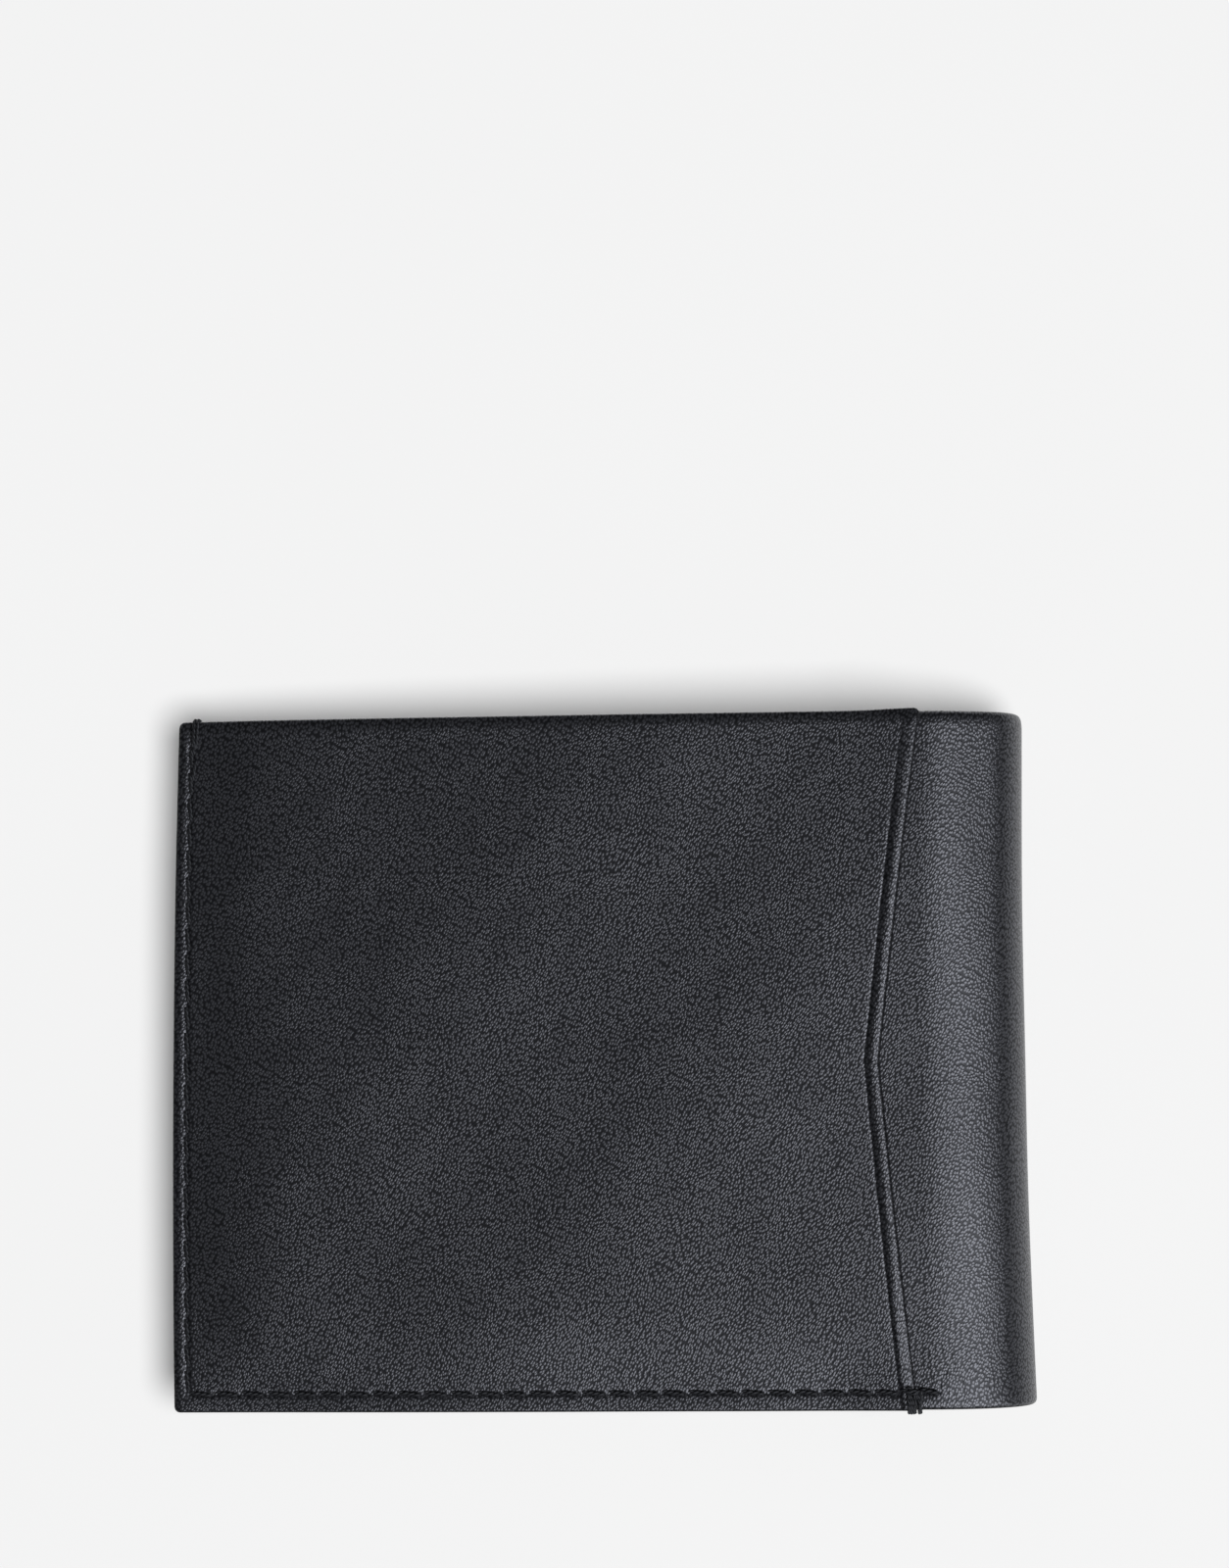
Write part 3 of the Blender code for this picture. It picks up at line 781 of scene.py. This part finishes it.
def stitches(flat, faces, half, start, end, edge, depth, lift):
    """Adds a row of stitches of one pitch from a place towards another."""
    start = np.asarray(start, float)
    along = np.asarray(end, float) - start
    length = np.linalg.norm(along)
    step = along / length * STITCH_PITCH
    for i in range(int(length / STITCH_PITCH + 0.1)):
        line = stitch_line(half, start + step * i, start + step * (i + 1), edge, depth, lift)
        add_strand(flat, faces, line)


def add_threads(name, half, node, rows, extra=()):
    """One object of stitch rows, each (start, end, edge, depth, lift), and of extra strands."""
    flat, faces = [], []
    for row in rows:
        stitches(flat, faces, half, *row)
    for line in extra:
        add_strand(flat, faces, line)
    return finish_threads(name, half + "_half", node, flat, faces)


def finish_threads(name, body, node, flat, faces):
    """Makes one object of strands, which rides on a body and stands for a node."""
    item = make_mesh(name, flat, faces)
    finish_thread(item)
    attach(item, body)
    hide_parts(node)
    return item


# Pieces

def mouth_of_pocket(y):
    """The distance from the bend of the outer pocket's mouth."""
    return np.interp(y, (BOTTOM, MIDDLE, TOP), (MOUTH_BOTTOM, MOUTH_APEX, MOUTH_TOP))


def shell_outer(path, y):
    """The outer face of the shell. Seams sink into it on the front half, and at the tack on the back half."""
    distance = from_bend(path)
    front = path < BEND_LENGTH / 2
    seams = seam_relief(distance, y, SEAM_END) + edge_fall(HALF_LENGTH - distance, SIDE_FALL, SIDE_FALL_REACH)
    tack = stitch_dent(-distance - 1.6 * MM, SEAM_Y - y) * smooth_step((distance + 2.0 * MM) / MM)
    return np.where(front, seams, tack) + edge_fall(TOP - y, TOP_FALL, TOP_FALL_REACH)


def shell_inner(path, y):
    """The inner face of the shell. Its edges are turned over inwards, so it is thicker along them."""
    edge = np.minimum(y - BOTTOM, HALF_LENGTH - from_bend(path))
    sides = 1.0 - smooth_step((edge - 2.3 * MM) / (0.6 * MM))
    top = 1.0 - smooth_step((TOP - y - 5.0 * MM) / (0.6 * MM))
    return COVER + (TURNED_COVER - COVER) * np.maximum(sides, top)


def spine_paths(front_step, spine_step, back_step, reach, round_radius, fine_front=()):
    """The path stations of each piece of a divided layer."""
    from_front = (-2.0 * MM, TURN_ENDS[1], spine_step)
    parts = [stations(-reach, TURN_ENDS[1], front_step, (*fine_front, from_front), round_radius)]
    for low, high in zip(TURN_ENDS[1:-2], TURN_ENDS[2:-1]):
        parts.append(stations(low, high, spine_step))
    to_back = (0.0, BEND_LENGTH + 8.0 * MM, spine_step)
    end = BEND_LENGTH + reach
    parts.append(stations(TURN_ENDS[-2], end, back_step, (to_back,), 0.0, round_radius))
    return parts


def even(depth):
    """A face at one depth, from (path, y)."""
    return lambda path, y: np.full(np.shape(path), depth)


def add_shell():
    """The outer leather: one skin from the front half round the spine to the back half."""
    edge_radius = TURNED_COVER / 2
    seam_band = ((-HALF_LENGTH, -HALF_LENGTH + 4 * MM, 0.25 * MM),)
    paths = spine_paths(0.6 * MM, 0.6 * MM, 1.6 * MM, HALF_LENGTH, edge_radius, seam_band)
    fine = ((BOTTOM, BOTTOM + 4 * MM, 0.25 * MM), (TOP - 7 * MM, TOP, 0.5 * MM))
    ys = stations(BOTTOM, TOP, 0.6 * MM, fine, edge_radius, edge_radius)
    pieces = divided_layer("shell", paths, ys, shell_outer, shell_inner, 1.2 * MM, finish_shell)
    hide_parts("front_cover")
    for number, piece in enumerate(pieces[1:-1], 1):
        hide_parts("spine_leather_" + str(number))
    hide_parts("back_cover", "spine_leather_" + str(HINGES - 1))
    for piece in pieces:
        add_drawn_mask(piece)
        path, y, _ = flat_of(piece)
        add_mask(piece, "painted", painted_share(np.minimum(y - BOTTOM, HALF_LENGTH - from_bend(path))))


def add_mask(item, name, values):
    mask = item.data.attributes.new(name, "FLOAT", "POINT")
    mask.data.foreach_set("value", values.astype(np.float32))


def painted_share(rim):
    """How much of an edge's darkening covers a place, from its distance from the leather's edge: edge paint
    on the side and bottom edges, and painted shade at the outer pocket's mouth.
    """
    return 1.0 - smooth_step((rim - 0.12 * MM) / (0.3 * MM))


def flat_of(item):
    """The flat places kept on a piece, as path, y and depth."""
    flat = np.zeros(len(item.data.vertices) * 3, np.float32)
    item.data.attributes["flat_place"].data.foreach_get("vector", flat)
    return flat.reshape(-1, 3).T


def add_drawn_mask(item):
    """Marks where the leather is drawn up into fine upright wrinkles, above the tack."""
    path, y, _ = flat_of(item)
    across = (path - BEND_LENGTH + 4.0 * MM) / (4.0 * MM)
    up = (y - SEAM_Y - 1.5 * MM) / (6.0 * MM)
    add_mask(item, "drawn", 0.25 * np.exp(-across ** 2 - np.where(up > 0, up, 2 * up) ** 2))


def add_divided_cloth(prefix, node, depths, drop, replaces):
    """A sheet of cloth from the front half round the spine to the back half. Returns its pieces."""
    depth, far = depths
    radius = (far - depth) / 2
    reach = HALF_LENGTH - LAYER_INSET
    paths = spine_paths(1.6 * MM, 0.8 * MM, 1.6 * MM, reach, radius)
    ys = stations(BOTTOM + LAYER_INSET, TOP - drop, 1.6 * MM, (), radius, radius)
    pieces = divided_layer(prefix, paths, ys, even(depth), even(far), 0.8 * MM, finish_lining)
    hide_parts("front_" + node)
    for number, piece in enumerate(pieces[1:-1], 1):
        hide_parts(replaces + str(number))
    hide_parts("back_" + node, replaces + str(HINGES - 1))
    return pieces


def add_panel(name, half, near, far, bottom, top, outer, inner, step, corner, finish, nodes, fine=()):
    """A flat piece of a half between two distances from the bend. It rides on the half."""
    low, high = sorted((on_half(half, near), on_half(half, far)))
    middle_path = np.array([[(low + high) / 2]])
    middle_y = np.array([[(bottom + top) / 2]])
    radius = float(inner(middle_path, middle_y)[0, 0] - outer(middle_path, middle_y)[0, 0]) / 2
    paths = stations(low, high, step, (), radius, radius)
    ys = stations(bottom, top, step, fine, radius, radius)
    outer_flat, inner_flat = slab(paths, ys, outer, inner, corner=corner)
    item = close_slab(name, outer_flat, inner_flat)[0]
    finish(item)
    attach(item, half + "_half")
    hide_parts(*nodes)
    return item


def slot_faces(depth, top):
    """The two faces of a card pocket. Its top edge is turned, with a pressed line below it."""
    def inner(path, y):
        above_line = y - top + SLOT_TURN
        turned = SLOT_TURN_RISE * smooth_step(above_line / (0.5 * MM))
        line = SLOT_TURN_RISE * np.exp(-(above_line / (0.22 * MM)) ** 2)
        return depth + SLOT_THICKNESS + turned - line

    return even(depth), inner


def add_inside(half):
    """The board, the card pockets and the binding of a half."""
    near = POCKETS_FROM_BEND
    far = HALF_LENGTH - LAYER_INSET
    add_panel(
        half + "_board", half, BOARD_INSET, HALF_LENGTH - BOARD_INSET, BOTTOM + 3.5 * MM, TOP - 7.0 * MM,
        even(STIFFENER_DEPTHS[0]), even(STIFFENER_DEPTHS[1]), 2.0 * MM, 1.5 * MM, finish_board,
        [half + "_stiffener"],
    )
    divider_top = TOP - DIVIDER_DROP
    low = BOTTOM + LAYER_INSET
    add_panel(
        half + "_pocket_base", half, near, far, low, divider_top - 0.6 * MM,
        even(BASE_DEPTHS[0]), even(BASE_DEPTHS[1]), 1.6 * MM, 1.2 * MM, finish_pocket_leather,
        [half + "_slot_base"],
    )
    add_panel(
        half + "_binding", half, near, far, divider_top - BINDING_HEIGHT, divider_top,
        even(BINDING_DEPTHS[0]), even(BINDING_DEPTHS[1]), 0.6 * MM, 0.0, finish_binding,
        [half + "_divider_binding"],
    )
    depth = FIRST_SLOT_DEPTH
    for number in range(1, SLOT_COUNT + 2):
        top = TOP - FIRST_SLOT_DROP - (number - 1) * SLOT_STEP
        is_slip = number > SLOT_COUNT
        name = "slip_pocket" if is_slip else "card_slot_" + str(number)
        bottom = low if is_slip else top - SLOT_HEIGHT
        fine = ((top - 3.6 * MM, top, 0.15 * MM),)
        add_panel(
            half + "_" + name + "_leather", half, near, far, bottom, top, *slot_faces(depth, top),
            1.6 * MM, 1.0 * MM, finish_pocket_leather, [half + "_" + name], fine,
        )
        depth += SLOT_RISE


def inner_face(y):
    """The depth of the innermost layer's face at a height."""
    levels = [(TOP - DIVIDER_DROP - BINDING_HEIGHT, BASE_DEPTHS[1])]
    for number in range(SLOT_COUNT + 1):
        depth = FIRST_SLOT_DEPTH + number * SLOT_RISE + SLOT_THICKNESS
        levels.append((TOP - FIRST_SLOT_DROP - number * SLOT_STEP, depth))
    face = BINDING_DEPTHS[1]
    for height, depth in levels:
        if y < height:
            face = depth
    return face


def hem_width(y):
    """The width of the turned edge at the pocket's mouth."""
    share = np.abs(y - MIDDLE) / (TOP - MIDDLE)
    return HEM_WIDTH_APEX + (HEM_WIDTH_END - HEM_WIDTH_APEX) * share ** 2


def hem_relief(distance, y):
    """How far the turned edge at the pocket's mouth stands out, between the mouth and its crease."""
    width = hem_width(y)
    across = distance - mouth_of_pocket(y)
    v = (y - MIDDLE) / (TOP - MIDDLE)
    lean = 1.0 + 1.2 * smooth_step((-v - 0.45) / 0.5)
    fade = (1.0 - 0.75 * smooth_step((v - 0.55) / 0.45)) * (1.0 - 0.5 * smooth_step((-v - 0.6) / 0.4))
    roll = HEM_RISE * np.sin(math.pi * np.clip(across / width, 0.0, 1.0) ** lean) ** 0.8
    return fade * (roll - CREASE_DEPTH * np.exp(-np.abs(across - width) / CREASE_REACH))


def pocket_outer(path, y):
    """The outer pocket's face: seams, the edges that fall away, and the turned edge of its mouth."""
    distance = from_bend(path)
    falls = edge_fall(HALF_LENGTH - distance, SIDE_FALL, SIDE_FALL_REACH)
    falls = falls + edge_fall(TOP - y, TOP_FALL, TOP_FALL_REACH)
    return POCKET_DEPTHS[0] + seam_relief(distance, y, POCKET_SEAM_END) + falls - hem_relief(distance, y)


def fit_mouth(face):
    """Moves the flat places of one of the outer pocket's faces, so that it ends at its slanting mouth."""
    distance = face[..., 0] - BEND_LENGTH
    near_top = smooth_step(1.0 - (TOP - face[..., 1]) / POCKET_PROUD_DOWN)
    face[..., 1] += POCKET_PROUD * near_top * np.exp(-((distance / POCKET_PROUD_ALONG) ** 2))
    mouth = mouth_of_pocket(face[..., 1])
    face[..., 0] = BEND_LENGTH + mouth + distance * (HALF_LENGTH - mouth) / HALF_LENGTH


def pocket_faces():
    """The flat places of the outer pocket's two faces."""
    radius = (POCKET_DEPTHS[1] - POCKET_DEPTHS[0]) / 2
    step = 0.5 * MM
    near = stations(0.0, HALF_LENGTH, step, (
        (0.0, 3.6 * MM, 0.15 * MM),
        (HALF_LENGTH - 3.4 * MM, HALF_LENGTH, 0.2 * MM),
    ), radius, radius)
    fine = ((BOTTOM, BOTTOM + 4 * MM, 0.2 * MM), (TOP - TOP_FALL_REACH, TOP, 0.25 * MM))
    ys = stations(BOTTOM, TOP, step, fine, radius, radius)
    outer_flat, inner_flat = slab(
        BEND_LENGTH + near, ys, even(POCKET_DEPTHS[0]), even(POCKET_DEPTHS[1]), corner=0.8 * MM,
    )
    fit_mouth(outer_flat)
    fit_mouth(inner_flat)
    relief = pocket_outer(outer_flat[..., 0], outer_flat[..., 1]) - POCKET_DEPTHS[0]
    share = (POCKET_DEPTHS[1] - outer_flat[..., 2]) / (POCKET_DEPTHS[1] - POCKET_DEPTHS[0])
    outer_flat[..., 2] += relief * share
    inner_flat[:, 0] = outer_flat[:, 0]
    inner_flat[:, -1] = outer_flat[:, -1]
    return outer_flat, inner_flat


def add_outer_pocket():
    """The leather panel on the back half, from its open edge to the mouth that faces the spine."""
    item = close_slab("outer_pocket_leather", *pocket_faces())[0]
    finish_shell(item)
    path, y, _ = flat_of(item)
    distance = from_bend(path)
    # The mouth's folded edge is darkened like the painted edges: painted shade in the gap under the fold.
    hem = distance - mouth_of_pocket(y)
    rim = np.minimum(HALF_LENGTH - distance, np.minimum(y - BOTTOM, hem))
    add_mask(item, "painted", painted_share(rim))
    add_mask(item, "crimp", 0.12 * np.exp(-((hem - 0.7 * MM) / (0.9 * MM)) ** 2))
    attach(item, "back_half")
    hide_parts("outer_pocket")


def face_depth(half):
    """The depth of a half's outer face at the bottom of a stitch's dent, from (path, y)."""
    face = 0.0 if half == "front" else POCKET_DEPTHS[0]
    return lambda path, y: face + SEAM_SINK + STITCH_SINK - STITCH_REST


def inside_depth(path, y):
    """The depth of the innermost layer's face, from (path, y)."""
    return inner_face(y) + 0.02 * MM


def over_top_edge(half, distance):
    """A thread from a half's outer face over its top edge, into the bill compartment."""
    face = 0.0 if half == "front" else POCKET_DEPTHS[0]
    path = on_half(half, distance)
    return [
        (path + 0.1 * MM, TOP - 3.6 * MM, face + 0.4 * MM), (path, TOP - 3.0 * MM, face - 0.1 * MM),
        (path, TOP - 1.2 * MM, face - 0.12 * MM), (path, TOP - 0.3 * MM, face + 0.12 * MM),
        (path, TOP + 0.16 * MM, face + 0.6 * MM), (path, TOP + 0.18 * MM, 1.2 * MM),
        (path, TOP - 0.3 * MM, 2.1 * MM), (path, TOP - 1.6 * MM, 2.15 * MM),
    ]


def add_half_seams(half):
    """The stitches of a half: on its outer face, on the card pockets inside, and beside the spine."""
    outside = face_depth(half)
    to_side = (1.0, 0.0)
    to_bottom = (0.0, -1.0)
    corner = (SIDE_SEAM, SEAM_Y)
    top_inside = TOP - DIVIDER_DROP - BINDING_HEIGHT
    back_start = (SIDE_SEAM - 0.4 * MM, TOP - 1.4 * MM)
    back_end = (back_start[0], back_start[1] - 2 * STITCH_PITCH)
    add_threads(half + "_side_stitches", half, half + "_side_thread", [
        (corner, (SIDE_SEAM, TOP), to_side, outside, 1.0),
        (back_start, back_end, to_side, outside, 1.4),
        (corner, (SIDE_SEAM, top_inside), to_side, inside_depth, -1.0),
    ], [over_top_edge(half, SIDE_SEAM - 0.7 * MM), over_top_edge(half, SIDE_SEAM - 0.25 * MM)])
    end = SEAM_END if half == "front" else POCKET_SEAM_END
    inner_end = POCKETS_FROM_BEND + 1.0 * MM
    add_threads(half + "_bottom_stitches", half, half + "_bottom_thread", [
        (corner, (end, SEAM_Y), to_bottom, outside, 1.0),
        (corner, (inner_end, SEAM_Y), to_bottom, inside_depth, -1.0),
    ])
    beside = POCKETS_FROM_BEND + 2.0 * MM
    add_threads(half + "_pocket_stitches", half, half + "_pocket_thread", [(
        (beside, SEAM_Y + STITCH_PITCH), (beside, TOP - FIRST_SLOT_DROP - MM), to_side, inside_depth, -1.0,
    )])


def add_tack():
    """The tack at the mouth's lower end: strands round the bottom edge, and a knot at the seam."""
    flat, faces = [], []
    random = np.random.default_rng(7)
    top = POCKET_DEPTHS[0] - STITCH_REST
    for number in range(TACK_STRANDS):
        lean = random.uniform(-0.3, 0.3, 2) * MM
        path = BEND_LENGTH + TACK_START + TACK_STEP * number
        line = [
            (path + lean[0], SEAM_Y + 0.25 * MM, top + 0.5 * MM),
            (path + lean[0], SEAM_Y + 0.1 * MM, top - 0.15 * MM),
            (path, SEAM_Y - 0.9 * MM, top - 0.2 * MM),
            (path + lean[1], BOTTOM + 0.5 * MM, top - 0.05 * MM),
            (path + lean[1], BOTTOM - 0.1 * MM, top + 0.35 * MM),
            (path + lean[1], BOTTOM - 0.28 * MM, -0.4 * MM),
            (path + lean[1], BOTTOM - 0.28 * MM, 1.2 * MM),
            (path + lean[1], BOTTOM + 0.1 * MM, 2.1 * MM),
            (path + lean[1], BOTTOM + 1.2 * MM, 2.3 * MM),
        ]
        add_strand(flat, faces, line)
    knot = (
        ((3.4, 0.15), (0.6, -0.25)),
        ((3.2, -0.2), (0.5, 0.3)),
        ((2.6, 0.45), (0.9, 0.1)),
        ((0.9, 0.1), (-1.7, -0.05)),
    )
    for (first, first_up), (last, last_up) in knot:
        face = -1.4 * MM if last > 0 else -0.1 * MM
        start = (first * MM, SEAM_Y + first_up * MM)
        end = (last * MM, SEAM_Y + last_up * MM)
        add_strand(flat, faces, stitch_line("back", start, end, (0.0, -1.0), even(face), 1.0))
    finish_threads("pocket_tack_strands", "back_half", "pocket_tack", flat, faces)


# Table, light and camera

def add_table():
    """A pale table, wide enough to reach the horizon, just under the wallet."""
    mesh = bpy.data.meshes.new("table")
    corners = ((-1, -1), (1, -1), (1, 1), (-1, 1))
    points = [(TABLE_REACH * x, TABLE_REACH * y, 0.0) for x, y in corners]
    mesh.from_pydata(points, [], [(0, 1, 2, 3)])
    table = bpy.data.objects.new("table", mesh)
    bpy.context.scene.collection.objects.link(table)
    mesh.materials.append(table_material())
    table.location.z = -TABLE_GAP
    return table


def add_sun(name, azimuth, tilt, angle, strength):
    """A broad distant lamp on the table's side at azimuth, from +X towards +Y, tilt degrees from overhead."""
    lamp = bpy.data.lights.new(name, "SUN")
    lamp.energy = strength
    lamp.angle = math.radians(angle)
    item = bpy.data.objects.new(name, lamp)
    bpy.context.scene.collection.objects.link(item)
    item.rotation_euler = (0.0, math.radians(tilt), math.radians(azimuth))
    return item


def add_light(table):
    """A soft key light on the wallet, and a lamp above the table, which lights the table alone."""
    key = add_sun("key", azimuth=-44.0, tilt=39.5, angle=67.0, strength=4.0)
    overhead = add_sun("overhead", azimuth=-36.0, tilt=14.0, angle=30.0, strength=3.4)
    for lamp, state in ((key, "EXCLUDE"), (overhead, "INCLUDE")):
        lit = bpy.data.collections.new(lamp.name + "_lit")
        lit.objects.link(table)
        lit.collection_objects[0].light_linking.link_state = state
        lamp.light_linking.receiver_collection = lit
    world = bpy.data.worlds.new("studio")
    bpy.context.scene.world = world
    world.use_nodes = True
    background = world.node_tree.nodes["Background"]
    background.inputs["Color"].default_value = (0.96, 0.98, 1.0, 1.0)
    background.inputs["Strength"].default_value = 0.05


def add_camera():
    """Straight above the wallet, framed with a shift, so that it lies in the lower part of the picture."""
    camera = bpy.data.cameras.new("camera")
    camera.sensor_width = 36.0
    camera.lens = 91.55
    camera.shift_y = 0.18
    camera.clip_start = 0.01
    camera.clip_end = 2.5 * TABLE_REACH
    item = bpy.data.objects.new("camera", camera)
    bpy.context.scene.collection.objects.link(item)
    item.location = (CAMERA_X, 0.0, CAMERA_HEIGHT)
    item.rotation_euler = (0.0, 0.0, math.radians(CAMERA_TURN))
    bpy.context.scene.camera = item


def build_wallet():
    """Adds every visual piece."""
    add_shell()
    add_divided_cloth("bill_lining", "bill_lining", LINING_DEPTHS, LINING_DROP, "spine_lining_")
    add_divided_cloth("divider_cloth", "divider", DIVIDER_DEPTHS, DIVIDER_DROP + 0.6 * MM, "spine_divider_")
    add_outer_pocket()
    for half in HALVES:
        add_inside(half)
        add_half_seams(half)
    add_tack()


build_wallet()
add_light(add_table())
add_camera()
bpy.context.scene.view_settings.view_transform = "Standard"
